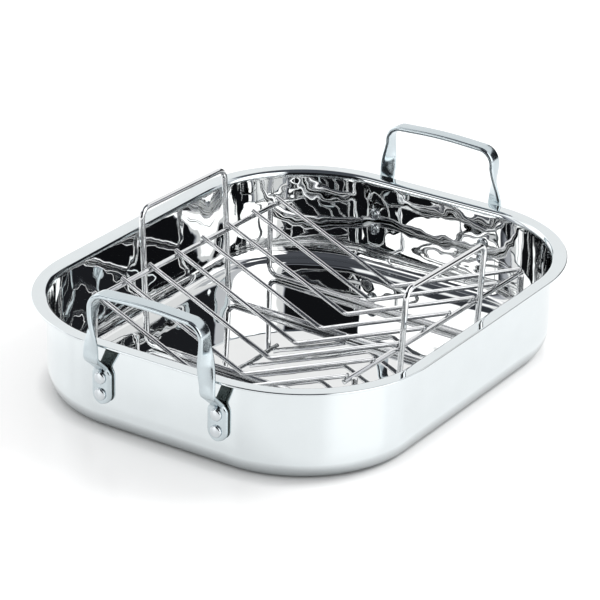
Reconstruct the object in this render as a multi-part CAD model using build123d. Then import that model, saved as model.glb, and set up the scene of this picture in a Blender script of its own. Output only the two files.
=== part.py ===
from build123d import *
import os
from math import asin, atan2, cos, hypot, radians, sin, sqrt, tan

os.makedirs("parts", exist_ok=True)

# Lengths are in millimetres. X runs along the pan, Y across it and Z up, with the origin on the
# surface that the pan stands on, under its middle.

# Pan shell
body_length = 406.0
body_width = 330.0
side_bow = 1.5
corner_radius = 104.0
rim_height = 82.5
sheet_thickness = 2.0
base_radius = 14.0
lip_overhang = 12.0
lip_bend_radius = 5.0
lip_edge_round = 0.8

# Pan handles. Their legs stand on the flat of each end, a little in from where its corners start.
# The strap's step and pad hang from the lip, and its twist starts under the grip.
handle_height = 135.0
leg_corner_gap = 5.5
leg_splay = 2.7
strap_width = 14.0
strap_thickness = 4.6
strap_edge_round = 2.0
strap_lip_gap = 2.7
grip_crown = 3.0
grip_crown_radius = 400.0
grip_corner_radius = 13.0
twist_start_drop = 1.7
twist_end_rise = 6.0
twist_steps = 4
step_lip_drop = 9.5
step_height = 13.5
step_bend_radius = 6.0
neck_width = 12.0
pad_width = 18.5
pad_shoulder_round = 5.0
pad_end_round = 8.5
pad_edge_round = 1.0

# Rivets
rivet_step_drop = 7.7
rivet_spacing = 14.3
rivet_pad_margin = 8.5
rivet_shank = 5.0
rivet_head = 10.4
rivet_head_rise = 2.4
rivet_clearance = 0.05

# Rack. Its gaps are those between its outermost wires and the pan's wall, with the rack centred.
rack_end_gap = 69.7
rack_side_gap = 31.7
rack_shift_x = -4.9
rack_shift_y = -9.1
rack_turn = -2.05
floor_gap = 0.3
weld_sink = 0.25
cradle_wire_count = 8
cradle_wire = 4.0
cradle_corner_height = 26.2
cradle_bend_radius = 9.0
cradle_tip_overrun = 3.0
rail_wire = 4.4
rail_height = 72.1
rail_overrun = 3.5
frame_wire = 5.0
frame_bend_radius = 9.0
frame_inset = 5.0
frame_top_overrun = 1.5
lift_half_length = 57.4
lift_height = 125.5
lift_lean = 2.9
lift_corner_radius = 9.0

# Every cut runs past the wall that it opens by this much, and an edge that lies this near to an
# outline is taken as part of it.
cut_overrun = 5.0
outline_tolerance = 0.05


def edges_along(shape, outline, level):
    """The edges of a shape that run along an outline at one level."""
    rim = Pos(0, 0, level) * outline.face().outer_wire()
    return shape.edges().filter_by(lambda edge: rim.distance_to(edge @ 0.5) < outline_tolerance)


# The pan's plan shape is a rounded rectangle whose long sides bow out a little.
half_length = body_length / 2
half_width = body_width / 2
near_side = ThreePointArc(
    (-half_length, -half_width), (0, -half_width - side_bow), (half_length, -half_width)
)
far_side = ThreePointArc(
    (half_length, half_width), (0, half_width + side_bow), (-half_length, half_width)
)
back_end = Line((half_length, -half_width), (half_length, half_width))
front_end = Line((-half_length, half_width), (-half_length, -half_width))
square_plan = make_face([near_side, back_end, far_side, front_end])
plan = fillet(square_plan.vertices(), corner_radius)
inner_plan = offset(plan, amount=-sheet_thickness)
lip_plan = offset(plan, amount=lip_overhang)

# The shell is a block of the plan shape with its bottom edge rounded and a lip round its top,
# less the same block one sheet further in.
lip_underside = rim_height - sheet_thickness
block = extrude(plan, amount=rim_height)
block = fillet(edges_along(block, plan, 0), base_radius)
block += Pos(0, 0, lip_underside) * extrude(lip_plan, amount=sheet_thickness)
block = fillet(edges_along(block, plan, lip_underside), lip_bend_radius - sheet_thickness)
lip_edges = edges_along(block, lip_plan, lip_underside) + edges_along(block, lip_plan, rim_height)
block = fillet(lip_edges, lip_edge_round)
cavity = extrude(inner_plan, amount=rim_height + cut_overrun)
cavity = fillet(edges_along(cavity, inner_plan, 0), base_radius - sheet_thickness)
shell = block - Pos(0, 0, sheet_thickness) * cavity
shell = fillet(edges_along(shell, inner_plan, rim_height), lip_bend_radius)

# Places that the handles and rivets share. The back handle is modelled, and the front one is its
# mirror image. Its strap stands just outside the lip.
strap_reach = half_length + lip_overhang + strap_lip_gap + strap_thickness / 2
pad_reach = half_length + strap_thickness / 2
leg_place = half_width - corner_radius - leg_corner_gap
grip_leg_place = leg_place - leg_splay
grip_level = handle_height - strap_thickness / 2 - grip_crown
twist_top = grip_level - grip_corner_radius - twist_start_drop
step_top = lip_underside - step_lip_drop
step_bottom = step_top - step_height
twist_bottom = step_top + twist_end_rise
upper_rivet_level = step_bottom - rivet_step_drop
lower_rivet_level = upper_rivet_level - rivet_spacing
pad_bottom = lower_rivet_level - rivet_pad_margin
rivet_levels = {"lower": lower_rivet_level, "upper": upper_rivet_level}
leg_places = {"left": leg_place, "right": -leg_place}
hole_radius = rivet_shank / 2 + rivet_clearance


def rivet_holes():
    """Four pins, as wide as the rivet holes, through both pads of the back handle and the wall."""
    pins = []
    hole_length = sheet_thickness + strap_thickness + 2 * cut_overrun
    for place in leg_places.values():
        for level in rivet_levels.values():
            centre = Pos(half_length, place, level) * Rot(0, 90, 0)
            pins.append(centre * Cylinder(hole_radius, hole_length))
    return Part() + pins


# The strap's section, with its width along X in the grip.
strap_section = RectangleRounded(strap_width, strap_thickness, strap_edge_round)
neck_section = RectangleRounded(neck_width, strap_thickness, strap_edge_round)

# Grip: one run over both corners, arched a little in the middle.
grip_path = FilletPolyline(
    (strap_reach, -grip_leg_place, twist_top),
    (strap_reach, -grip_leg_place, grip_level),
    (strap_reach, 0, grip_level + grip_crown),
    (strap_reach, grip_leg_place, grip_level),
    (strap_reach, grip_leg_place, twist_top),
    radius=[grip_corner_radius, grip_crown_radius, grip_corner_radius],
)
grip = sweep(Pos(strap_reach, -grip_leg_place, twist_top) * strap_section, path=grip_path)


def handle_leg(way):
    """One leg from the grip to its pad, on the side that way gives as 1 or -1: a quarter twist that
    splays outwards as it goes down, a step in under the lip, and the pad."""
    sections = []
    for step in range(twist_steps + 1):
        share = step / twist_steps
        place = way * (grip_leg_place + share * leg_splay)
        level = twist_top + share * (twist_bottom - twist_top)
        sections.append(Pos(strap_reach, place, level) * Rot(0, 0, -90 * way * share) * strap_section)
    twist = loft(sections)
    step_path = FilletPolyline(
        (strap_reach, way * leg_place, twist_bottom),
        (strap_reach, way * leg_place, step_top),
        (pad_reach, way * leg_place, step_bottom),
        (pad_reach, way * leg_place, upper_rivet_level),
        radius=step_bend_radius,
    )
    neck = Pos(pad_reach, way * leg_place, upper_rivet_level) * Rot(0, 0, -90 * way) * neck_section
    step_in = sweep([sections[-1], neck], path=step_path, multisection=True)
    pad_shape = Rectangle(pad_width, step_bottom - pad_bottom)
    pad_shape = fillet(pad_shape.vertices().group_by(Axis.Y)[0], pad_end_round)
    pad_shape = fillet(pad_shape.vertices().group_by(Axis.Y)[-1], pad_shoulder_round)
    pad = extrude(pad_shape, amount=strap_thickness)
    pad = fillet(pad.edges().group_by(Axis.Z)[-1], pad_edge_round)
    pad_middle = (step_bottom + pad_bottom) / 2
    pad = Pos(half_length, way * leg_place, pad_middle) * Rot(0, 90, 0) * Rot(0, 0, 90) * pad
    return twist + step_in + pad


back_handle = grip + handle_leg(1) + handle_leg(-1)
back_handle -= rivet_holes()
front_handle = mirror(back_handle, about=Plane.YZ)
shell -= rivet_holes()
shell -= mirror(rivet_holes(), about=Plane.YZ)

# A rivet is turned about Z and then laid along X, with its inner head against the wall's inside
# and its outer head against the pad.
rivet_grip = sheet_thickness + strap_thickness
head_radius = rivet_head / 2
shank_radius = rivet_shank / 2
dome_radius = (head_radius**2 + rivet_head_rise**2) / (2 * rivet_head_rise)
dome_half_angle = atan2(head_radius, dome_radius - rivet_head_rise) / 2
dome_mid_reach = dome_radius * sin(dome_half_angle)
dome_mid_drop = dome_radius * (1 - cos(dome_half_angle))
top = rivet_grip + rivet_head_rise
rivet_outline = [
    ThreePointArc(
        (0, -rivet_head_rise),
        (dome_mid_reach, -rivet_head_rise + dome_mid_drop),
        (head_radius, 0),
    ),
    Line((head_radius, 0), (shank_radius, 0)),
    Line((shank_radius, 0), (shank_radius, rivet_grip)),
    Line((shank_radius, rivet_grip), (head_radius, rivet_grip)),
    ThreePointArc((head_radius, rivet_grip), (dome_mid_reach, top - dome_mid_drop), (0, top)),
    Line((0, top), (0, -rivet_head_rise)),
]
rivet = revolve(Plane.XZ * make_face(rivet_outline), axis=Axis.Z)


def wire(points, bends, thickness):
    """A round wire along straight runs joined by bends of the given radii."""
    if bends:
        path = FilletPolyline(*points, radius=bends)
    else:
        path = Line(*points)
    start = Plane(origin=path @ 0, z_dir=path % 0)
    return sweep(start * Circle(thickness / 2), path=path)


# The rack stands a little off the pan's middle and slightly turned, as it was put down.
rack = Pos(rack_shift_x, rack_shift_y, 0) * Rot(0, 0, rack_turn)
rack_parts = {}

# Places of the rack's wires before the rack is placed, from its gaps to the pan's wall.
rail_end = half_length - sheet_thickness - rack_end_gap
first_cradle_place = rail_end - rail_overrun
cradle_pitch = 2 * first_cradle_place / (cradle_wire_count - 1)
post_place = half_width - sheet_thickness - rack_side_gap - frame_wire / 2
rail_place = post_place - (rail_wire + frame_wire) / 2 + weld_sink

# V wires. Each leg runs from the corner under the middle to just past the rail, on which it lies.
rail_drop = (cradle_wire + rail_wire) / 2 - weld_sink
corner_to_rail = hypot(rail_place, rail_height - cradle_corner_height)
leg_angle = atan2(rail_height - cradle_corner_height, rail_place) + asin(rail_drop / corner_to_rail)
leg_length = sqrt(corner_to_rail**2 - rail_drop**2) + cradle_tip_overrun
tip_place = leg_length * cos(leg_angle)
tip_height = cradle_corner_height + leg_length * sin(leg_angle)
for index in range(cradle_wire_count):
    place = first_cradle_place - index * cradle_pitch
    rack_parts[f"cradle_wire_{index + 1}"] = wire(
        [
            (place, tip_place, tip_height),
            (place, 0, cradle_corner_height),
            (place, -tip_place, tip_height),
        ],
        [cradle_bend_radius],
        cradle_wire,
    )

# Side rails
for side, way in (("left", 1), ("right", -1)):
    rail_points = [(rail_end, way * rail_place, rail_height), (-rail_end, way * rail_place, rail_height)]
    rack_parts[f"{side}_side_rail"] = wire(rail_points, [], rail_wire)

# Foot frames: a bar across the floor between two posts, one outside each rail.
floor_wire_level = sheet_thickness + floor_gap + frame_wire / 2
post_top = rail_height + frame_top_overrun
frame_place = first_cradle_place - frame_inset
for end, way in (("back", 1), ("front", -1)):
    rack_parts[f"{end}_foot_frame"] = wire(
        [
            (way * frame_place, post_place, post_top),
            (way * frame_place, post_place, floor_wire_level),
            (way * frame_place, -post_place, floor_wire_level),
            (way * frame_place, -post_place, post_top),
        ],
        [frame_bend_radius, frame_bend_radius],
        frame_wire,
    )

# Lifting handles. Their legs lean out as they rise, and touch the rails at the rails' height.
lean = tan(radians(lift_lean))
lift_foot_place = post_place - lean * (rail_height - floor_wire_level)
lift_top_place = post_place + lean * (lift_height - rail_height)
for side, way in (("left", 1), ("right", -1)):
    rack_parts[f"{side}_lift_handle"] = wire(
        [
            (lift_half_length, 0, floor_wire_level),
            (lift_half_length, way * lift_foot_place, floor_wire_level),
            (lift_half_length, way * lift_top_place, lift_height),
            (-lift_half_length, way * lift_top_place, lift_height),
            (-lift_half_length, way * lift_foot_place, floor_wire_level),
            (-lift_half_length, 0, floor_wire_level),
        ],
        [frame_bend_radius, lift_corner_radius, lift_corner_radius, frame_bend_radius],
        frame_wire,
    )

export_step(shell, "parts/pan_body.step")
export_step(front_handle, "parts/front_handle.step")
export_step(back_handle, "parts/back_handle.step")
for side, place in leg_places.items():
    for level_name, level in rivet_levels.items():
        back_rivet = Pos(half_length - sheet_thickness, place, level) * Rot(0, 90, 0) * rivet
        front_rivet = mirror(back_rivet, about=Plane.YZ)
        export_step(back_rivet, f"parts/back_{side}_{level_name}_rivet.step")
        export_step(front_rivet, f"parts/front_{side}_{level_name}_rivet.step")
for name, rack_part in rack_parts.items():
    export_step(rack * rack_part, f"parts/{name}.step")
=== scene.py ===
import math
import bmesh
import bpy
from mathutils import Matrix, Vector


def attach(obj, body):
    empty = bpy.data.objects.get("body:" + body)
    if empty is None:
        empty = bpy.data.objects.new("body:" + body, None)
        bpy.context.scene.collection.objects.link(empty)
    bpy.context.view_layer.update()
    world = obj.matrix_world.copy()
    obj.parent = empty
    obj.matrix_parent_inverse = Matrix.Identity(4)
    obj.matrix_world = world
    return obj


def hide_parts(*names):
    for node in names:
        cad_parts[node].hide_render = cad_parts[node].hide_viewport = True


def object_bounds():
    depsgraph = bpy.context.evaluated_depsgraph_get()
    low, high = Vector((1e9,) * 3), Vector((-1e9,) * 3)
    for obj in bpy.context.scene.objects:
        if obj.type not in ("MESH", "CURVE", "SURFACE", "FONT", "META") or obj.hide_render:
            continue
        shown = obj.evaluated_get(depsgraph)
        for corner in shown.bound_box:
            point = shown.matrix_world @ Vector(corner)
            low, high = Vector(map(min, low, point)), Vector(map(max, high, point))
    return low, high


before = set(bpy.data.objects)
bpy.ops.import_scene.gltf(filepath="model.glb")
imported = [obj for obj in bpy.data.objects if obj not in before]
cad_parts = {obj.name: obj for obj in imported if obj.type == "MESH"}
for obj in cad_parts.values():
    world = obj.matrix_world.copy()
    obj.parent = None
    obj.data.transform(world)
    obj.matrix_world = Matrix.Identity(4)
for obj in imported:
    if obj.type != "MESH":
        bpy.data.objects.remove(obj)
cad_low, cad_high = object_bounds()
mm = 0.001

# Camera
# A long lens looks down over the pan's front right corner, from the right of the front handle, with
# the whole pan and both handles in a square frame.
view_turn = math.radians(-57.28)
view_rise = math.radians(24.54)
view_roll = math.radians(1.3)
view_distance = 2.48186
view_aim = Vector((-10.82, -3.42, 60.0)) * mm
view_back = Vector(
    (
        math.sin(view_turn) * math.cos(view_rise),
        -math.cos(view_turn) * math.cos(view_rise),
        math.sin(view_rise),
    )
)
level_right = (-view_back).cross(Vector((0, 0, 1))).normalized()
level_up = level_right.cross(-view_back)
view_right = level_right * math.cos(view_roll) + level_up * math.sin(view_roll)
view_up = level_up * math.cos(view_roll) - level_right * math.sin(view_roll)
camera_data = bpy.data.cameras.new("camera")
camera_data.sensor_fit = "HORIZONTAL"
camera_data.sensor_width = 36.0
camera_data.lens = 180.0
camera_data.clip_end = 50.0
camera = bpy.data.objects.new("camera", camera_data)
bpy.context.scene.collection.objects.link(camera)
camera.matrix_world = Matrix.Translation(view_aim + view_back * view_distance) @ Matrix(
    (view_right, view_up, view_back)
).transposed().to_4x4()
bpy.context.scene.camera = camera
bpy.context.scene.view_settings.view_transform = "Standard"


# Studio
# A wide white floor in a white room, as a product photographer lays it out. Polished metal shows the
# room, so black walls, a dark ceiling, windows and cards stand round the pan, where only glossy
# surfaces see them. The floor's glow is dimmed in the narrow gap under the pan, a painted shadow.
def wire_up(tree, *pairs):
    """Links each (output socket, input socket) pair of a node tree."""
    for source, target in pairs:
        tree.links.new(source, target)


def maths(tree, operation, *values):
    """One Math node. Values are numbers or output sockets, and its result is returned."""
    node = tree.nodes.new("ShaderNodeMath")
    node.operation = operation
    for place, value in enumerate(values):
        if isinstance(value, (int, float)):
            node.inputs[place].default_value = value
        else:
            tree.links.new(value, node.inputs[place])
    return node.outputs["Value"]


def soft_step(tree, value, low, high):
    """0 below low and 1 above high, with a smooth rise between them. High may be below low."""
    node = tree.nodes.new("ShaderNodeMapRange")
    node.interpolation_type = "SMOOTHSTEP"
    node.inputs["From Min"].default_value = min(low, high)
    node.inputs["From Max"].default_value = max(low, high)
    node.inputs["To Min"].default_value = 0.0 if low < high else 1.0
    node.inputs["To Max"].default_value = 1.0 if low < high else 0.0
    tree.links.new(value, node.inputs["Value"])
    return node.outputs["Result"]


def seen_directly_or_in_gloss(tree):
    """1 for what the camera sees, straight or in a shiny surface, and 0 for light on a dull one."""
    path = tree.nodes.new("ShaderNodeLightPath")
    total = maths(tree, "ADD", path.outputs["Is Camera Ray"], path.outputs["Is Glossy Ray"])
    total = maths(tree, "ADD", total, path.outputs["Is Transmission Ray"])
    return maths(tree, "MINIMUM", total, 1.0)


# The floor is paler and glows less where the camera sees it straight than where metal mirrors it.
floor_reach = 9.0
glow_in_gloss = 0.60
glow_change_in_view = -0.28
paint_out_of_view = 0.38
paint_change_in_view = 0.32
nook_reach = 16 * mm
nook_contrast = 1.6
floor_mesh = bmesh.new()
bmesh.ops.create_grid(floor_mesh, x_segments=2, y_segments=2, size=floor_reach)
floor_data = bpy.data.meshes.new("studio_floor")
floor_mesh.to_mesh(floor_data)
floor_mesh.free()
studio_floor = bpy.data.objects.new("studio_floor", floor_data)
bpy.context.scene.collection.objects.link(studio_floor)
floor_paint = bpy.data.materials.new("white_sweep")
floor_paint.use_nodes = True
tree = floor_paint.node_tree
shader = tree.nodes["Principled BSDF"]
shader.inputs["Roughness"].default_value = 0.28
shader.inputs["Specular IOR Level"].default_value = 0.5
shader.inputs["Emission Color"].default_value = (1, 1, 1, 1)
# Painted shadow: ambient occlusion dims the floor's glow close to the pan and in the gap under it.
nook = tree.nodes.new("ShaderNodeAmbientOcclusion")
nook.samples = 8
nook.inputs["Distance"].default_value = nook_reach
open_floor = maths(tree, "POWER", nook.outputs["AO"], nook_contrast)
floor_ray = tree.nodes.new("ShaderNodeLightPath")
in_view = floor_ray.outputs["Is Camera Ray"]
glow = maths(tree, "MULTIPLY_ADD", in_view, glow_change_in_view, glow_in_gloss)
glow = maths(tree, "MULTIPLY", glow, seen_directly_or_in_gloss(tree))
glow = maths(tree, "MULTIPLY", glow, open_floor)
paint = maths(tree, "MULTIPLY_ADD", in_view, paint_change_in_view, paint_out_of_view)
wire_up(tree, (glow, shader.inputs["Emission Strength"]), (paint, shader.inputs["Base Color"]))
studio_floor.data.materials.append(floor_paint)

# What stands round the pan. Each has the azimuth of its middle, half its width, its lowest and its
# highest elevation and the softness of its edge, all in degrees, and its brightness, where the open
# room is 1. Azimuth 0 is along the pan towards the back handle. A later one covers an earlier one.
room_pieces = {
    "left_sweep": (122, 22, -3, 46, 8.0, 0.55),
    "left_dark_gap": (148, 14, -3, 45, 4.0, 0.06),
    "left_high_card": (128, 30, 45, 60, 3.0, 1.4),
    "left_light_strip": (118, 5, 4, 52, 1.0, 1.1),
    "right_black_card": (-16, 31, -3, 30, 1.5, 0.02),
    "right_grey_card": (-57, 12, -3, 60, 1.5, 0.75),
    "black_wall_behind_camera": (-165, 40, -3, 47, 1.5, 0.010),
    "top_of_black_wall": (-165, 44, 47, 60, 3.0, 0.05),
    "dark_ceiling": (0, 180, 55, 90, 3.0, 0.10),
    "back_left_window": (82, 24, 12, 42, 6.0, 1.6),
    "near_right_window": (-93, 25, 8, 62, 1.5, 2.0),
    "low_left_card": (148, 9, 4, 28, 1.0, 1.9),
}
least_level_reach = 0.0001
tone_of_darks = (0.78, 0.84, 1.0, 1)
tone_of_whites = (1, 1, 1, 1)
room = bpy.data.worlds.new("studio_room")
bpy.context.scene.world = room
room.use_nodes = True
tree = room.node_tree
heading = tree.nodes.new("ShaderNodeTexCoord")
parts = tree.nodes.new("ShaderNodeSeparateXYZ")
wire_up(tree, (heading.outputs["Generated"], parts.inputs["Vector"]))
east, north, rise = (parts.outputs[axis] for axis in "XYZ")
squares = maths(tree, "MULTIPLY_ADD", east, east, maths(tree, "MULTIPLY", north, north))
level_reach = maths(tree, "SQRT", maths(tree, "MAXIMUM", squares, least_level_reach))


def sine(degrees):
    """The sine of an angle in degrees."""
    return math.sin(math.radians(degrees))


def cosine(degrees):
    """The cosine of an angle in degrees."""
    return math.cos(math.radians(degrees))


def part_of_room(middle, half, low, high, edge):
    """1 in a part of the room round an azimuth, between two elevations, all in degrees."""
    mask = soft_step(tree, rise, sine(low - edge), sine(low + edge))
    if high < 90:
        under = soft_step(tree, rise, sine(high + edge), sine(high - edge))
        mask = maths(tree, "MULTIPLY", mask, under)
    if half < 180:
        along = maths(tree, "MULTIPLY", east, cosine(middle))
        along = maths(tree, "MULTIPLY_ADD", north, sine(middle), along)
        along = maths(tree, "DIVIDE", along, level_reach)
        beside = soft_step(tree, along, cosine(half + edge), cosine(half - edge))
        mask = maths(tree, "MULTIPLY", mask, beside)
    return mask


brightness = 1.0
for middle, half, low, high, edge, value in room_pieces.values():
    mask = part_of_room(middle, half, low, high, edge)
    change = maths(tree, "SUBTRACT", value, brightness)
    brightness = maths(tree, "MULTIPLY_ADD", mask, change, brightness)
room_ray = tree.nodes.new("ShaderNodeLightPath")
brightness = maths(tree, "SUBTRACT", brightness, 1.0)
brightness = maths(tree, "MULTIPLY_ADD", room_ray.outputs["Is Glossy Ray"], brightness, 1.0)
tone = tree.nodes.new("ShaderNodeMix")
tone.data_type = "RGBA"
tone.inputs["A"].default_value = tone_of_darks
tone.inputs["B"].default_value = tone_of_whites
background = tree.nodes["Background"]
wire_up(
    tree,
    (brightness, tone.inputs["Factor"]),
    (tone.outputs["Result"], background.inputs["Color"]),
    (brightness, background.inputs["Strength"]),
)

# A square lamp, high at the pan's back right, lights the dull surfaces. No metal mirrors it.
key_place = Vector((1.5, -1.3, 1.7))
key_data = bpy.data.lights.new("key_light", "AREA")
key_data.shape = "RECTANGLE"
key_data.size = 1.1
key_data.size_y = 1.1
key_data.energy = 52
key_light = bpy.data.objects.new("key_light", key_data)
bpy.context.scene.collection.objects.link(key_light)
key_light.location = key_place
key_light.rotation_euler = (-key_place).to_track_quat("-Z", "Y").to_euler()
key_light.visible_camera = False
key_light.visible_glossy = False

# Pan body
# One sheet of stainless steel, drawn to a deep rounded tray with a flat lip, then polished to a
# mirror. The press leaves faint waves in the walls and floor, which show most on the inside.
body_length = 406 * mm
body_width = 330 * mm
corner_radius = 104 * mm
rim_height = 82.5 * mm
sheet = 2 * mm
base_inset = 13 * mm
base_rise = 24 * mm
lip_overhang = 12 * mm
lip_bend = 5 * mm
lip_edge = 0.8 * mm
flat_margin = 2 * mm
floor_margin = 15 * flat_margin
shortest_side = 30 * mm
join_distance = 0.002 * mm
haze_base_share = 0.6
haze_cloud_share = 0.8
cloud_tint_share = 0.93
calm_share = 0.125
side_bow = cad_high.y - body_width / 2 - lip_overhang
corner_x = body_length / 2 - corner_radius
corner_y = body_width / 2 - corner_radius
lip_under = rim_height - sheet
lip_fillet = lip_bend - sheet
fillet_level = lip_under - lip_fillet
wall_top = rim_height - lip_bend
edge_centre = lip_overhang - lip_edge
edge_start = lip_overhang - 2 * lip_edge


def group_sockets(group, inputs, outputs):
    """Gives a shader node group its named inputs, as (name, kind, value), and its outputs."""
    for name, kind, value in inputs:
        socket = group.interface.new_socket(name=name, in_out="INPUT", socket_type=kind)
        if value is not None:
            socket.default_value = value
    for name, kind in outputs:
        group.interface.new_socket(name=name, in_out="OUTPUT", socket_type=kind)
    return group.nodes.new("NodeGroupInput"), group.nodes.new("NodeGroupOutput")


def noise(tree, place, scale, detail):
    """A noise texture's value at a place. Place and scale are output sockets."""
    node = tree.nodes.new("ShaderNodeTexNoise")
    node.inputs["Detail"].default_value = detail
    wire_up(tree, (place, node.inputs["Vector"]), (scale, node.inputs["Scale"]))
    return node.outputs["Fac"]


# Polish: how a buffed steel surface departs from a perfect mirror. Roughness is its haze, clouded by
# the buffing, and Waves is the height of the slow swells that the press leaves.
polish = bpy.data.node_groups.new("polish", "ShaderNodeTree")
given, made = group_sockets(
    polish,
    [
        ("Place", "NodeSocketVector", None),
        ("Haze", "NodeSocketFloat", 0.05),
        ("Cloud Scale", "NodeSocketFloat", 40.0),
        ("Wave Scale", "NodeSocketFloat", 14.0),
        ("Dent Scale", "NodeSocketFloat", 45.0),
        ("Dent Share", "NodeSocketFloat", 0.3),
    ],
    [("Roughness", "NodeSocketFloat"), ("Waves", "NodeSocketFloat"), ("Tint", "NodeSocketFloat")],
)
cloud = noise(polish, given.outputs["Place"], given.outputs["Cloud Scale"], detail=3.0)
wave = noise(polish, given.outputs["Place"], given.outputs["Wave Scale"], detail=1.0)
dent = noise(polish, given.outputs["Place"], given.outputs["Dent Scale"], detail=1.0)
clouded = maths(polish, "MULTIPLY", cloud, haze_cloud_share)
clouded = maths(polish, "ADD", haze_base_share, clouded)
roughness = maths(polish, "MULTIPLY", given.outputs["Haze"], clouded)
dented = maths(polish, "MULTIPLY", dent, given.outputs["Dent Share"])
swells = maths(polish, "ADD", wave, dented)
wire_up(
    polish,
    (roughness, made.inputs["Roughness"]),
    (swells, made.inputs["Waves"]),
    (cloud, made.inputs["Tint"]),
)


def steel(name, tint, haze, cloud_scale, wave_scale, dent_scale, dent_share, wave_depth, calm=None):
    """A polished steel. Wave depth is the height in metres of the swells in its surface, which calm,
    a pair of heights, makes an eighth as deep below the first and full above the second."""
    material = bpy.data.materials.new(name)
    material.use_nodes = True
    tree = material.node_tree
    shader = tree.nodes["Principled BSDF"]
    shader.inputs["Metallic"].default_value = 1.0
    place = tree.nodes.new("ShaderNodeTexCoord")
    surface = tree.nodes.new("ShaderNodeGroup")
    surface.node_tree = polish
    polish_values = {
        "Haze": haze,
        "Cloud Scale": cloud_scale,
        "Wave Scale": wave_scale,
        "Dent Scale": dent_scale,
        "Dent Share": dent_share,
    }
    for socket, value in polish_values.items():
        surface.inputs[socket].default_value = value
    shade = tree.nodes.new("ShaderNodeMix")
    shade.data_type = "RGBA"
    shade.inputs["A"].default_value = (*[cloud_tint_share * channel for channel in tint], 1)
    shade.inputs["B"].default_value = (*tint, 1)
    bump = tree.nodes.new("ShaderNodeBump")
    bump.inputs["Strength"].default_value = 1.0
    bump.inputs["Distance"].default_value = wave_depth
    wire_up(
        tree,
        (place.outputs["Object"], surface.inputs["Place"]),
        (surface.outputs["Roughness"], shader.inputs["Roughness"]),
        (surface.outputs["Tint"], shade.inputs["Factor"]),
        (shade.outputs["Result"], shader.inputs["Base Color"]),
        (bump.outputs["Normal"], shader.inputs["Normal"]),
    )
    waves = surface.outputs["Waves"]
    if calm:
        spot = tree.nodes.new("ShaderNodeSeparateXYZ")
        wire_up(tree, (place.outputs["Object"], spot.inputs["Vector"]))
        lively = soft_step(tree, spot.outputs["Z"], *calm)
        share = maths(tree, "MULTIPLY_ADD", lively, 1 - calm_share, calm_share)
        waves = maths(tree, "MULTIPLY", waves, share)
    wire_up(tree, (waves, bump.inputs["Height"]))
    return material


def outward(place):
    """The direction straight out of the pan's side at a place, seen from above."""
    near_x = max(-corner_x, min(corner_x, place.x))
    near_y = max(-corner_y, min(corner_y, place.y))
    return Vector((place.x - near_x, place.y - near_y, 0)).normalized()


def only(kind, grown):
    """The parts of one kind, such as bmesh.types.BMVert, in what an operator has made."""
    return [part for part in grown if isinstance(part, kind)]


def new_ring(grown):
    """The vertices and edges at the far side of what an extrude has added."""
    verts = only(bmesh.types.BMVert, grown)
    known = set(verts)
    edges = [edge for edge in only(bmesh.types.BMEdge, grown) if known.issuperset(edge.verts)]
    return verts, edges


def press(mesh, ring, start, profile, slot_index):
    """Draws a ring of the pan's outline through profile, points of (spread, height) from start."""
    for spread, height in profile:
        grown = bmesh.ops.extrude_edge_only(mesh, edges=ring)["geom"]
        verts, ring = new_ring(grown)
        for vert in verts:
            vert.co += outward(vert.co) * (spread - start[0]) + Vector((0, 0, height - start[1]))
        for face in only(bmesh.types.BMFace, grown):
            face.material_index = slot_index
        start = (spread, height)
    return ring, start


def turn(centre_spread, centre_height, radius, first, last, steps, tall=None):
    """Profile points round an arc, without its first one. Angles are in degrees, 0 outwards. With
    tall, the arc is a quarter of an ellipse, as high as that."""
    points = []
    tall = tall or radius
    for step in range(1, steps + 1):
        angle = math.radians(first + (last - first) * step / steps)
        points.append((centre_spread + radius * math.cos(angle), centre_height + tall * math.sin(angle)))
    return points


def round_off(mesh, parts, size, segments, affect):
    """Rounds the corners (VERTICES) or edges (EDGES) of a mesh, taking size off each side."""
    bmesh.ops.bevel(
        mesh,
        geom=parts,
        offset=size,
        offset_type="OFFSET",
        segments=segments,
        profile=0.5,
        affect=affect,
        material=-1,
    )


def make_piece(mesh, name, materials, body, slot_name, *nodes):
    """Makes the finished mesh an object that rides on a body and stands for its CAD nodes."""
    bmesh.ops.remove_doubles(mesh, verts=mesh.verts, dist=join_distance)
    bmesh.ops.recalc_face_normals(mesh, faces=mesh.faces)
    for face in mesh.faces:
        face.smooth = True
    data = bpy.data.meshes.new(name)
    mesh.to_mesh(data)
    mesh.free()
    for material in materials:
        data.materials.append(material)
    piece = bpy.data.objects.new(name, data)
    bpy.context.scene.collection.objects.link(piece)
    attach(piece, body)
    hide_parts(*nodes)


outside = [(-base_inset, 0)]
outside += turn(-base_inset, base_rise, base_inset, -90, 0, steps=20, tall=base_rise)
outside += [(0, base_rise + flat_margin), (0, rim_height / 2)]
outside += [(0, fillet_level - flat_margin), (0, fillet_level)]
outside += turn(lip_fillet, fillet_level, lip_fillet, 180, 90, steps=6)
outside += [(lip_fillet + flat_margin, lip_under), (edge_start, lip_under), (edge_centre, lip_under)]
outside += turn(edge_centre, lip_under + lip_edge, lip_edge, -90, 0, steps=4)
outside += turn(edge_centre, rim_height - lip_edge, lip_edge, 0, 90, steps=4)
outside += [(edge_start, rim_height), (lip_fillet + flat_margin, rim_height), (lip_fillet, rim_height)]
outside += turn(lip_fillet, wall_top, lip_bend, 90, 180, steps=12)
inside_levels = (wall_top - flat_margin, rim_height / 2, base_rise + flat_margin, base_rise)
inside = [(-sheet, level) for level in inside_levels]
inside += turn(-base_inset, base_rise, base_inset - sheet, 0, -90, steps=24, tall=base_rise - sheet)
inside += [(-base_inset - flat_margin, sheet), (-base_inset - floor_margin, sheet)]

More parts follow.
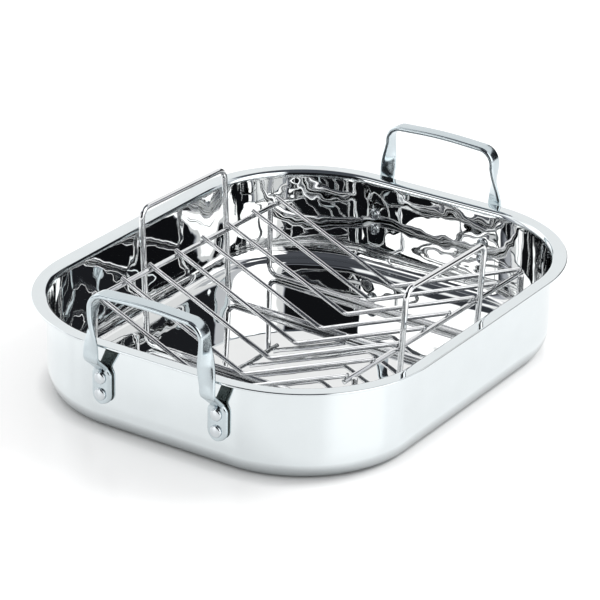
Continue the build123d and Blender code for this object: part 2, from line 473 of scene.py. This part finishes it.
start_spread = -base_inset - flat_margin
tray = bmesh.new()
bmesh.ops.create_grid(tray, x_segments=1, y_segments=1, size=1)
blank_half = (body_length / 2 + start_spread, body_width / 2 + start_spread, 1)
bmesh.ops.scale(tray, vec=blank_half, verts=tray.verts)
round_off(tray, list(tray.verts), corner_radius + start_spread, segments=30, affect="VERTICES")
long_edges = [edge for edge in tray.edges if edge.calc_length() > shortest_side]
bmesh.ops.subdivide_edges(tray, edges=long_edges, cuts=19)
rim, reached = press(tray, list(tray.edges), (start_spread, 0), outside, 0)
rim = press(tray, rim, reached, inside, 1)[0]
for face in bmesh.ops.edgeloop_fill(tray, edges=rim)["faces"]:
    face.material_index = 1
for vert in tray.verts:
    share = 1 - (vert.co.x / (body_length / 2)) ** 2
    vert.co.y += side_bow * share * max(-1, min(1, vert.co.y / (body_width / 2)))
outside_steel = steel(
    "mirror_steel",
    (0.775, 0.82, 0.835),
    haze=0.05,
    cloud_scale=30,
    wave_scale=9,
    dent_scale=30,
    dent_share=0.2,
    wave_depth=0.5 * mm,
)
inside_steel = steel(
    "drawn_mirror_steel",
    (0.84, 0.85, 0.85),
    haze=0.012,
    cloud_scale=40,
    wave_scale=13,
    dent_scale=48,
    dent_share=0.12,
    wave_depth=2.3 * mm,
    calm=(3 * mm, 24 * mm),
)
make_piece(tray, "pan_body_skin", [outside_steel, inside_steel], "pan", "pan_steel", "pan_body")

# Pan handles
# Each is one forged steel strap. It lies flat across the grip, turns down, twists a quarter turn
# outside the lip, steps in under it and widens to two pads riveted to the wall. It is buffed all
# over; the faces of its necks and pads that look at the pan are painted near-black as painted shade.
leg_corner_gap = 5.5 * mm
leg_splay = 2.7 * mm
strap_width = 14 * mm
strap_thickness = 4.6 * mm
strap_round = 2.2 * mm
strap_edge_share = 0.85
# Faces lying further than this from the strap's middle, towards the pan, get the painted shade.
painted_shade_start = 0.9 * mm
strap_lip_gap = 2.7 * mm
grip_crown = 3 * mm
grip_crown_radius = 400 * mm
grip_corner = 13 * mm
twist_top_gap = 1.7 * mm
twist_bottom_gap = 6 * mm
step_lip_drop = 9.5 * mm
step_height = 13.5 * mm
step_bend = 6 * mm
neck_width = 12 * mm
neck_start = 2 * mm
pad_width = 18.5 * mm
pad_end = 8.5 * mm
pad_shoulder = 5 * mm
pad_station_gap = 6 * mm
rivet_step_drop = 7.7 * mm
rivet_spacing = 14.3 * mm
rivet_pad_margin = 8.5 * mm
mirror_join = 0.01 * mm
twist_steps = 24
arch_steps = 16
strap_reach = body_length / 2 + lip_overhang + strap_lip_gap + strap_thickness / 2
pad_reach = body_length / 2 + strap_thickness / 2
leg_place = body_width / 2 - corner_radius - leg_corner_gap
crown_slope = math.atan(grip_crown / (leg_place - leg_splay))
crown_cut = grip_crown_radius * (1 / math.cos(crown_slope) - 1)
grip_level = cad_high.z - strap_thickness / 2 - grip_crown + crown_cut
twist_top = grip_level - grip_corner - twist_top_gap
step_top = lip_under - step_lip_drop
step_bottom = step_top - step_height
twist_bottom = step_top + twist_bottom_gap
upper_rivet = step_bottom - rivet_step_drop
lower_rivet = upper_rivet - rivet_spacing
pad_bottom = lower_rivet - rivet_pad_margin


def bend_points(before, corner, after, radius, steps):
    """Points round the fillet that a path of straight runs gets at a corner."""
    way_in = (corner - before).normalized()
    way_out = (after - corner).normalized()
    sweep = way_in.angle(way_out)
    reach = radius * math.tan(sweep / 2)
    first = corner - way_in * reach
    side = (way_out - way_in * way_in.dot(way_out)).normalized()
    centre = first + side * radius
    points = []
    for step in range(steps + 1):
        angle = sweep * step / steps
        points.append(centre - side * radius * math.cos(angle) + way_in * radius * math.sin(angle))
    return points


def smooth(share):
    """A share from 0 to 1 with a gentle start and end."""
    share = max(0.0, min(1.0, share))
    return share * share * (3 - 2 * share)


def strap_width_at(level):
    """The strap's width at a height below the twist, from the pad's round end to the blade."""
    if level < pad_bottom + pad_end:
        drop = 1 - (level - pad_bottom) / pad_end
        return pad_width - 2 * pad_end * (1 - math.sqrt(max(0.0, 1 - drop * drop)))
    shoulder = step_bottom - pad_shoulder
    if level < shoulder:
        return pad_width
    if level < step_bottom + neck_start:
        narrowed = smooth((level - shoulder) / (pad_shoulder + neck_start))
        return pad_width + (neck_width - pad_width) * narrowed
    return neck_width + (strap_width - neck_width) * smooth((level - step_bottom - neck_start) / step_height)


def strap_half():
    """Stations of the back handle's left half, pad to mid grip: place, width way, width."""
    stations = []
    levels = [pad_bottom + pad_end * (1 - math.cos(math.radians(angle))) for angle in range(0, 91, 10)]
    levels += [upper_rivet - pad_station_gap, upper_rivet, step_bottom - pad_shoulder]
    column = [Vector((pad_reach, leg_place, level)) for level in levels]
    low = Vector((pad_reach, leg_place, step_bottom))
    high = Vector((strap_reach, leg_place, step_top))
    column += bend_points(column[-1], low, high, step_bend, steps=8)
    column += bend_points(low, high, Vector((strap_reach, leg_place, twist_bottom)), step_bend, steps=8)
    for place in column:
        stations.append((place, Vector((0, 1, 0)), strap_width_at(place.z)))
    for step in range(twist_steps + 1):
        share = step / twist_steps
        angle = math.radians(90 * (0.5 * share + 0.5 * smooth(share)))
        level = twist_bottom + (twist_top - twist_bottom) * share
        place = Vector((strap_reach, leg_place - leg_splay * share, level))
        stations.append((place, Vector((-math.sin(angle), math.cos(angle), 0)), strap_width))
    foot = Vector((strap_reach, leg_place - leg_splay, twist_top))
    corner = Vector((strap_reach, leg_place - leg_splay, grip_level))
    crown = Vector((strap_reach, 0, grip_level + grip_crown))
    mirrored = Vector((strap_reach, leg_splay - leg_place, grip_level))
    arch = bend_points(corner, crown, mirrored, grip_crown_radius, arch_steps)
    for place in bend_points(foot, corner, crown, grip_corner, steps=14) + arch[: arch_steps // 2 + 1]:
        stations.append((place, Vector((-1, 0, 0)), strap_width))
    return stations


def draw_out(mesh, ring, stations):
    """Carries the strap's outline from the first station to the last, whose end stays open. The neck's
    and the pad's faces that look at the pan get the second material, a painted shade, and all others the
    first."""
    frames = []
    places = [station[0] for station in stations]
    for index, (place, width_way, width) in enumerate(stations):
        ahead = places[min(index + 1, len(places) - 1)] - places[max(index - 1, 0)]
        ahead.normalize()
        across = (width_way - ahead * ahead.dot(width_way)).normalized()
        through = ahead.cross(across)
        grid = Matrix((across * width, through, ahead)).transposed().to_4x4()
        frames.append(Matrix.Translation(place) @ grid)
    bmesh.ops.transform(mesh, matrix=frames[0], verts=mesh.verts)
    for before, after in zip(frames, frames[1:]):
        back = before.inverted()
        grown = bmesh.ops.extrude_edge_only(mesh, edges=ring)["geom"]
        for face in only(bmesh.types.BMFace, grown):
            centre = face.calc_center_median()
            # Faces below the step that look at the pan take the near-black painted shade material.
            face.material_index = int(centre.z < step_top and (back @ centre).y > painted_shade_start)
        verts, ring = new_ring(grown)
        bmesh.ops.transform(mesh, matrix=after @ back, verts=verts)


def add_mirror_image(mesh, axis):
    """Adds the mirror image of a whole mesh across the plane through the origin, and joins the two."""
    bmesh.ops.mirror(
        mesh,
        geom=list(mesh.verts) + list(mesh.edges) + list(mesh.faces),
        matrix=Matrix(),
        merge_dist=mirror_join,
        axis=axis,
    )


buffed_steel = steel(
    "buffed_forged_steel",
    (0.60, 0.67, 0.70),
    haze=0.15,
    cloud_scale=120,
    wave_scale=60,
    dent_scale=260,
    dent_share=0.4,
    wave_depth=0.12 * mm,
)
# Painted shade: a near-black steel for the neck and pad faces that look at the pan, standing in for the
# shade in the gap at the wall.
painted_shade_steel = steel(
    "painted_shade_back_steel",
    (0.09, 0.10, 0.095),
    haze=0.2,
    cloud_scale=120,
    wave_scale=60,
    dent_scale=260,
    dent_share=0.4,
    wave_depth=0.12 * mm,
)
for end, way in (("back", 1), ("front", -1)):
    strap = bmesh.new()
    bmesh.ops.create_grid(strap, x_segments=1, y_segments=1, size=0.5)
    bmesh.ops.scale(strap, vec=(strap_width, strap_thickness, 1), verts=strap.verts)
    round_off(strap, list(strap.verts), strap_round, segments=8, affect="VERTICES")
    wide = [edge for edge in strap.edges if edge.calc_length() > strap_width / 2]
    bmesh.ops.subdivide_edges(strap, edges=wide, cuts=7)
    bmesh.ops.scale(strap, vec=(1 / strap_width, 1, 1), verts=strap.verts)
    for vert in strap.verts:
        vert.co.y *= 1 - (1 - strap_edge_share) * (2 * vert.co.x) ** 2
    outline = [edge for edge in strap.edges if edge.is_boundary]
    draw_out(strap, outline, strap_half())
    add_mirror_image(strap, "Y")
    bmesh.ops.scale(strap, vec=(way, 1, 1), verts=strap.verts)
    node = f"{end}_handle"
    make_piece(strap, f"{node}_strap", [buffed_steel, painted_shade_steel], "pan", "handle_steel", node)

# Rivets
# Two through each pad and the wall behind it. Both ends are upset to flat buttons with rounded
# shoulders, one on the pad and one inside the pan, and both are buffed with the rest.
rivet_shank = 5 * mm
rivet_head = 10.4 * mm
rivet_rise = 2.4 * mm
rivet_crown = 22 * mm
rivet_shoulder = 1.5 * mm
rivet_grip = sheet + strap_thickness
rivet_reach = body_length / 2 + strap_thickness - rivet_grip / 2
crown_angle = math.asin((rivet_head / 2 - rivet_shoulder) / (rivet_crown - rivet_shoulder))
head_top = rivet_grip / 2 + rivet_rise
shoulder_height = head_top - rivet_crown + (rivet_crown - rivet_shoulder) * math.cos(crown_angle)
rivet_steel = steel(
    "buffed_rivet_steel",
    (0.68, 0.72, 0.745),
    haze=0.08,
    cloud_scale=200,
    wave_scale=90,
    dent_scale=300,
    dent_share=0.4,
    wave_depth=0.05 * mm,
)


def swing(mesh, parts, centre, axis, angle, steps, join=False):
    """Sweeps parts of a mesh round an axis through a centre, and returns what ends the sweep."""
    return bmesh.ops.spin(
        mesh,
        geom=parts,
        cent=centre,
        axis=axis,
        angle=angle,
        steps=steps,
        dvec=(0, 0, 0),
        use_merge=join,
        use_duplicate=False,
    )["geom_last"]


def upset_rivet():
    """A rivet along Z, its middle at the origin: half its outline, turned, then mirrored."""
    rivet = bmesh.new()
    foot = [rivet.verts.new((0, 0, head_top))]
    for centre, angle in (
        ((0, 0, head_top - rivet_crown), crown_angle),
        ((rivet_head / 2 - rivet_shoulder, 0, shoulder_height), math.pi / 2 - crown_angle),
    ):
        foot = only(bmesh.types.BMVert, swing(rivet, foot, centre, (0, 1, 0), angle, steps=6))
    for drop, spread in (
        (rivet_grip / 2 - shoulder_height, 0),
        (0, rivet_shank / 2 - rivet_head / 2),
        (-rivet_grip / 2, 0),
    ):
        foot = bmesh.ops.extrude_vert_indiv(rivet, verts=foot)["verts"]
        bmesh.ops.translate(rivet, vec=(spread, 0, drop), verts=foot)
    outline = list(rivet.verts) + list(rivet.edges)
    swing(rivet, outline, (0, 0, 0), (0, 0, 1), math.tau, steps=32, join=True)
    add_mirror_image(rivet, "Z")
    return rivet


lying = Matrix.Rotation(math.pi / 2, 3, "Y")
for end, way in (("back", 1), ("front", -1)):
    for side, place in (("left", leg_place), ("right", -leg_place)):
        for level_name, level in (("upper", upper_rivet), ("lower", lower_rivet)):
            rivet = upset_rivet()
            bmesh.ops.rotate(rivet, cent=(0, 0, 0), matrix=lying, verts=rivet.verts)
            bmesh.ops.translate(rivet, vec=(way * rivet_reach, place, level), verts=rivet.verts)
            node = f"{end}_{side}_{level_name}_rivet"
            make_piece(rivet, f"{node}_heads", [rivet_steel], "pan", "rivet_steel", node)

# Rack wires
# The rack is bent from round stainless wire, drawn bright, and spot welded where wires cross. Each
# wire below is cut, fed through a bender and left with slightly rounded ends.
rack_turn = math.radians(-2.05)
rack_shift = Vector((-4.9, -9.1, 0)) * mm
degrees_per_step = 8
fewest_bend_steps = 3
wire_steel = steel(
    "bright_drawn_wire",
    (0.82, 0.83, 0.84),
    haze=0.04,
    cloud_scale=150,
    wave_scale=70,
    dent_scale=400,
    dent_share=0.3,
    wave_depth=0.03 * mm,
)


def bend_wire(points, radii, thickness):
    """A round wire along straight runs through points, with a bend of a given radius at each."""
    mesh = bmesh.new()
    points = [Vector(point) for point in points]
    bmesh.ops.create_circle(mesh, cap_ends=False, segments=20, radius=thickness / 2)
    facing = (points[1] - points[0]).to_track_quat("Z", "Y").to_matrix().to_4x4()
    bmesh.ops.transform(mesh, matrix=Matrix.Translation(points[0]) @ facing, verts=mesh.verts)
    ends = [list(mesh.edges)]
    ring = list(mesh.edges)
    fed = 0.0
    for index in range(1, len(points)):
        run = points[index] - points[index - 1]
        way = run.normalized()
        reach = 0.0
        if index < len(points) - 1:
            way_out = (points[index + 1] - points[index]).normalized()
            sweep = way.angle(way_out)
            reach = radii[index - 1] * math.tan(sweep / 2)
        verts, ring = new_ring(bmesh.ops.extrude_edge_only(mesh, edges=ring)["geom"])
        bmesh.ops.translate(mesh, vec=way * (run.length - fed - reach), verts=verts)
        fed = reach
        if reach:
            side = (way_out - way * way.dot(way_out)).normalized()
            centre = points[index] - way * reach + side * radii[index - 1]
            steps = max(fewest_bend_steps, round(math.degrees(sweep) / degrees_per_step))
            bent = swing(mesh, ring, centre, way.cross(way_out), sweep, steps)
            ring = only(bmesh.types.BMEdge, bent)
    ends.append(ring)
    for end_ring in ends:
        bmesh.ops.edgeloop_fill(mesh, edges=end_ring)
    end_round = thickness / 9
    round_off(mesh, ends[0] + ends[1], end_round, segments=2, affect="EDGES")
    turned = Matrix.Rotation(rack_turn, 3, "Z")
    bmesh.ops.rotate(mesh, cent=(0, 0, 0), matrix=turned, verts=mesh.verts)
    bmesh.ops.translate(mesh, vec=rack_shift, verts=mesh.verts)
    return mesh


def make_wire(wire, node):
    """Makes a bent wire the piece that stands for one of the rack's CAD nodes."""
    make_piece(wire, f"{node}_steel", [wire_steel], "rack", "rack_wire", node)


# V wires
# Eight thin wires, each bent once under the middle, carry the roast. Their tips stand just past the
# side rails, on which they are welded.
frame_wire = 5 * mm
rail_wire = 4.4 * mm
cradle_wire = 4 * mm
cradle_count = 8
cradle_corner = 26.2 * mm
cradle_tip_overrun = 3 * mm
rail_height = 72.1 * mm
rail_overrun = 3.5 * mm
rack_end_gap = 69.7 * mm
rack_side_gap = 31.7 * mm
wire_bend = 9 * mm
weld_sink = 0.25 * mm
rail_end = body_length / 2 - sheet - rack_end_gap
first_cradle = rail_end - rail_overrun
cradle_pitch = 2 * first_cradle / (cradle_count - 1)
post_place = body_width / 2 - sheet - rack_side_gap - frame_wire / 2
rail_place = post_place - (rail_wire + frame_wire) / 2 + weld_sink
rail_drop = (cradle_wire + rail_wire) / 2 - weld_sink
corner_to_rail = math.hypot(rail_place, rail_height - cradle_corner)
leg_angle = math.atan2(rail_height - cradle_corner, rail_place) + math.asin(rail_drop / corner_to_rail)
leg_length = math.sqrt(corner_to_rail**2 - rail_drop**2) + cradle_tip_overrun
tip_place = leg_length * math.cos(leg_angle)
tip_height = cradle_corner + leg_length * math.sin(leg_angle)
for index in range(cradle_count):
    place = first_cradle - index * cradle_pitch
    left_tip = (place, tip_place, tip_height)
    right_tip = (place, -tip_place, tip_height)
    wire = bend_wire([left_tip, (place, 0, cradle_corner), right_tip], [wire_bend], cradle_wire)
    make_wire(wire, f"cradle_wire_{index + 1}")

# Side rails
# Two straight wires of the same steel tie the rack together lengthways. They lie under the tips of
# the V wires and are welded to each of them.
for side, way in (("left", 1), ("right", -1)):
    back_end = (rail_end, way * rail_place, rail_height)
    front_end = (-rail_end, way * rail_place, rail_height)
    wire = bend_wire([back_end, front_end], [], rail_wire)
    make_wire(wire, f"{side}_side_rail")

# Foot frames
# A thicker wire at each end of the rack goes down outside the rail, across the pan's floor and up
# again, and holds the V wires off the floor.
floor_gap = 0.3 * mm
frame_inset = 5 * mm
post_overrun = 1.5 * mm
floor_level = sheet + floor_gap + frame_wire / 2
frame_place = first_cradle - frame_inset
post_top = rail_height + post_overrun
for end, way in (("back", 1), ("front", -1)):
    wire = bend_wire(
        [
            (way * frame_place, post_place, post_top),
            (way * frame_place, post_place, floor_level),
            (way * frame_place, -post_place, floor_level),
            (way * frame_place, -post_place, post_top),
        ],
        [wire_bend] * 2,
        frame_wire,
    )
    make_wire(wire, f"{end}_foot_frame")

# Lifting handles
# A tall loop of the same thick wire at each side lifts the rack out with the roast in it. Its legs
# lean out a little, touch the rail, and turn in across the floor to meet the other loop's.
lift_lean = math.radians(2.9)
lift_half = 57.4 * mm
lift_height = 125.5 * mm
lean_slope = math.tan(lift_lean)
lift_foot = post_place - lean_slope * (rail_height - floor_level)
lift_top = post_place + lean_slope * (lift_height - rail_height)
for side, way in (("left", 1), ("right", -1)):
    wire = bend_wire(
        [
            (lift_half, 0, floor_level),
            (lift_half, way * lift_foot, floor_level),
            (lift_half, way * lift_top, lift_height),
            (-lift_half, way * lift_top, lift_height),
            (-lift_half, way * lift_foot, floor_level),
            (-lift_half, 0, floor_level),
        ],
        [wire_bend] * 4,
        frame_wire,
    )
    make_wire(wire, f"{side}_lift_handle")
